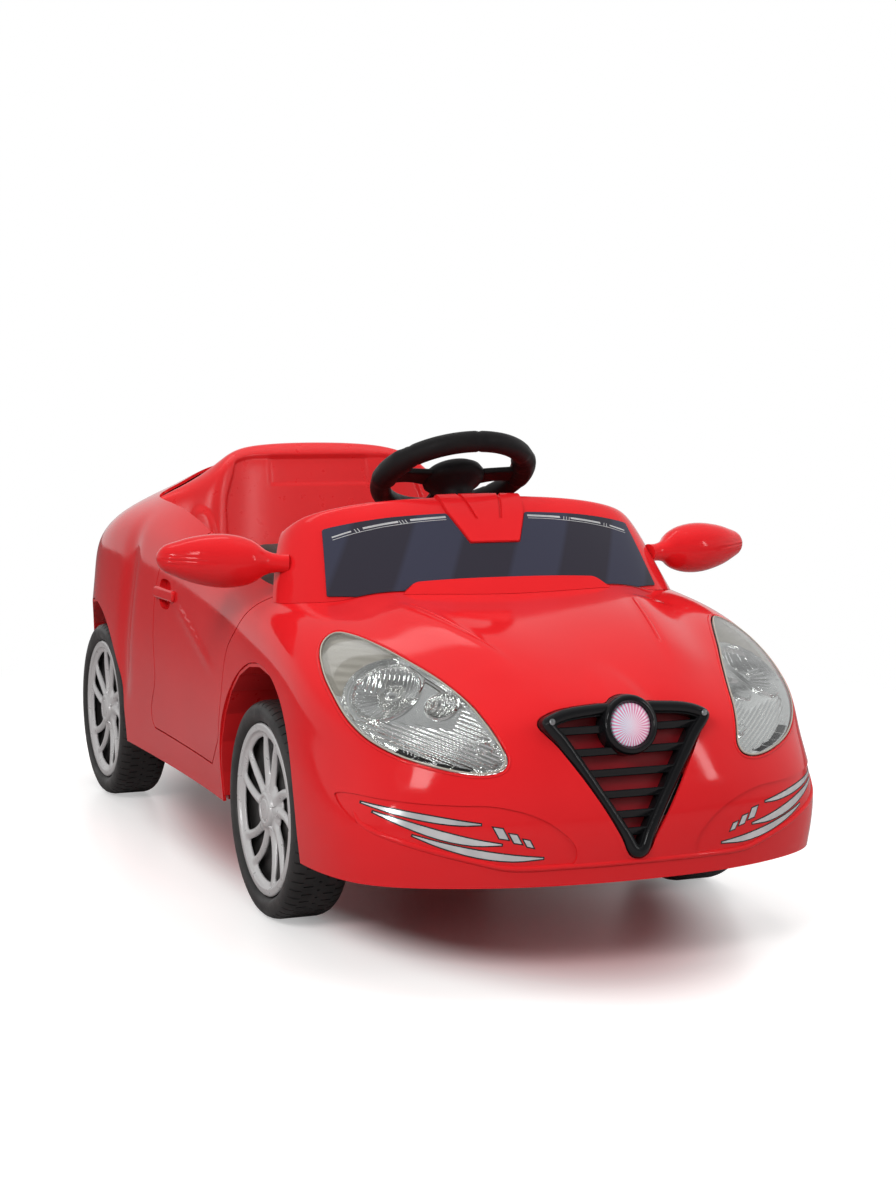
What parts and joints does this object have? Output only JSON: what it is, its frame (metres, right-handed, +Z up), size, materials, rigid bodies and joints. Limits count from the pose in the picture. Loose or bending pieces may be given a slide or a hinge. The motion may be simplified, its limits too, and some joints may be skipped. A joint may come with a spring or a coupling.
{
  "type": "child ride-on car",
  "caption": "Child battery ride-on car: red moulded body with hinged doors, steered front wheels, bucket seat, steering wheel, screen panel and grille.",
  "frame": {"origin": "ground level under the middle of the car", "axes": "+Z up, nose towards -Y, left side of the driver at +X"},
  "size_m": [0.618, 1.0793, 0.443],
  "materials": {
    "red_gloss": "gloss",
    "red_satin": "satin",
    "black_plastic": "matte",
    "black_gloss": "gloss",
    "wheel_silver": "satin",
    "tyre_plastic": "matte",
    "plated_steel": "satin",
    "reflector_chrome": "gloss",
    "clear_lens": "gloss",
    "tail_lens": "gloss",
    "screen_film": "gloss",
    "seat_fabric": "matte",
    "mirror_face": "gloss",
    "badge_print": "gloss"
  },
  "bodies": {
    "chassis": {"battery": "black_plastic", "battery_strap": "black_gloss", "body_shell": "red_gloss", "charging_socket": "black_plastic", "chassis_tub": "red_satin", "column_bracket": "plated_steel", "dashboard": "red_satin", "drive_motor": "plated_steel", "front_axle_beam": "plated_steel", "gearbox_housing": "black_plastic", "grille_backing": "red_satin", "grille_badge": "badge_print", "grille_frame": "black_gloss", "headlight_lens_left": "clear_lens", "headlight_lens_right": "clear_lens", "headlight_reflector_left": "reflector_chrome", "headlight_reflector_right": "reflector_chrome", "mirror_glass_left": "mirror_face", "mirror_glass_right": "mirror_face", "mirror_housing_left": "red_gloss", "mirror_housing_right": "red_gloss", "rear_axle": "plated_steel", "seat_pad": "seat_fabric", "seat_shell": "red_satin", "tail_light_left": "tail_lens", "tail_light_right": "tail_lens", "wheel_arch_front_left": "red_satin", "wheel_arch_front_right": "red_satin", "wheel_arch_rear_left": "red_satin", "wheel_arch_rear_right": "red_satin", "windscreen_film": "screen_film", "windscreen_panel": "red_gloss"},
    "steering": {"steering_wheel": "black_plastic", "steering_column": "plated_steel"},
    "horn": {"horn_button": "red_gloss"},
    "knuckle_left": {"knuckle_left": "black_plastic"},
    "knuckle_right": {"knuckle_right": "black_plastic"},
    "tie_rod": {"tie_rod": "plated_steel"},
    "door_left": {"door_left": "red_gloss", "door_handle_left": "red_gloss"},
    "door_right": {"door_right": "red_gloss", "door_handle_right": "red_gloss"},
    "pedal": {"accelerator_pedal": "black_plastic"},
    "direction_switch": {"direction_switch": "black_gloss"},
    "power_switch": {"power_switch": "black_gloss"},
    "music_button_1": {"music_button_1": "black_gloss"},
    "music_button_2": {"music_button_2": "black_gloss"},
    "wheel_front_left": {"tyre_front_left": "tyre_plastic", "wheel_cover_front_left": "wheel_silver"},
    "wheel_front_right": {"tyre_front_right": "tyre_plastic", "wheel_cover_front_right": "wheel_silver"},
    "wheel_rear_left": {"tyre_rear_left": "tyre_plastic", "wheel_cover_rear_left": "wheel_silver"},
    "wheel_rear_right": {"tyre_rear_right": "tyre_plastic", "wheel_cover_rear_right": "wheel_silver"}
  },
  "joints": [
    {"name": "steering_turn", "type": "hinge", "parent": "chassis", "child": "steering", "pos_m": [0, -0.133, 0.3965], "axis": [0, 0.5, 0.866], "range_deg": [-40, 40]},
    {"name": "horn_press", "type": "slide", "parent": "steering", "child": "horn", "axis": [0, -0.5, -0.866], "range_m": [0, 0.0018], "stiffness_N_per_m": 400},
    {"name": "king_pin_left", "type": "hinge", "parent": "chassis", "child": "knuckle_left", "pos_m": [0.165, -0.24, 0.1], "axis": [0, 0, 1], "range_deg": [-22.5, 22.5]},
    {"name": "king_pin_right", "type": "hinge", "parent": "chassis", "child": "knuckle_right", "pos_m": [-0.165, -0.24, 0.1], "axis": [0, 0, 1], "range_deg": [-22.5, 22.5]},
    {"name": "tie_rod_slide", "type": "slide", "parent": "chassis", "child": "tie_rod", "axis": [1, 0, 0], "range_m": [-0.0156, 0.0156]},
    {"name": "wheel_spin_front_left", "type": "hinge", "parent": "knuckle_left", "child": "wheel_front_left", "pos_m": [0.2055, -0.24, 0.1], "axis": [1, 0, 0], "continuous": true},
    {"name": "wheel_spin_front_right", "type": "hinge", "parent": "knuckle_right", "child": "wheel_front_right", "pos_m": [-0.2055, -0.24, 0.1], "axis": [1, 0, 0], "continuous": true},
    {"name": "wheel_spin_rear_left", "type": "hinge", "parent": "chassis", "child": "wheel_rear_left", "pos_m": [0.2055, 0.358, 0.1], "axis": [1, 0, 0], "continuous": true},
    {"name": "wheel_spin_rear_right", "type": "hinge", "parent": "chassis", "child": "wheel_rear_right", "pos_m": [-0.2055, 0.358, 0.1], "axis": [1, 0, 0], "continuous": true},
    {"name": "door_hinge_left", "type": "hinge", "parent": "chassis", "child": "door_left", "pos_m": [0.2335, -0.112, 0.1145], "axis": [0, 0.3841, -0.9233], "range_deg": [0, 50]},
    {"name": "door_hinge_right", "type": "hinge", "parent": "chassis", "child": "door_right", "pos_m": [-0.2335, -0.112, 0.1145], "axis": [0, -0.3841, 0.9233], "range_deg": [0, 50]},
    {"name": "pedal_press", "type": "hinge", "parent": "chassis", "child": "pedal", "pos_m": [-0.075, -0.085, 0.0965], "axis": [1, 0, 0], "range_deg": [0, 12], "stiffness_Nm_per_rad": 1.5},
    {"name": "direction_switch_rock", "type": "hinge", "parent": "chassis", "child": "direction_switch", "pos_m": [0.078, -0.1165, 0.323], "axis": [1, 0, 0], "range_deg": [-7, 7]},
    {"name": "power_switch_rock", "type": "hinge", "parent": "chassis", "child": "power_switch", "pos_m": [-0.078, -0.1165, 0.323], "axis": [1, 0, 0], "range_deg": [-7, 7]},
    {"name": "music_button_1_press", "type": "slide", "parent": "chassis", "child": "music_button_1", "axis": [0, -0.7618, -0.6478], "range_m": [0, 0.002], "stiffness_N_per_m": 300},
    {"name": "music_button_2_press", "type": "slide", "parent": "chassis", "child": "music_button_2", "axis": [0, -0.7618, -0.6478], "range_m": [0, 0.002], "stiffness_N_per_m": 300}
  ],
  "couplings": [
    {"joint": "king_pin_left", "follows": "steering_turn", "ratio": 0.55},
    {"joint": "king_pin_right", "follows": "steering_turn", "ratio": 0.55},
    {"joint": "tie_rod_slide", "follows": "steering_turn", "m_per_rad": 0.022}
  ]
}
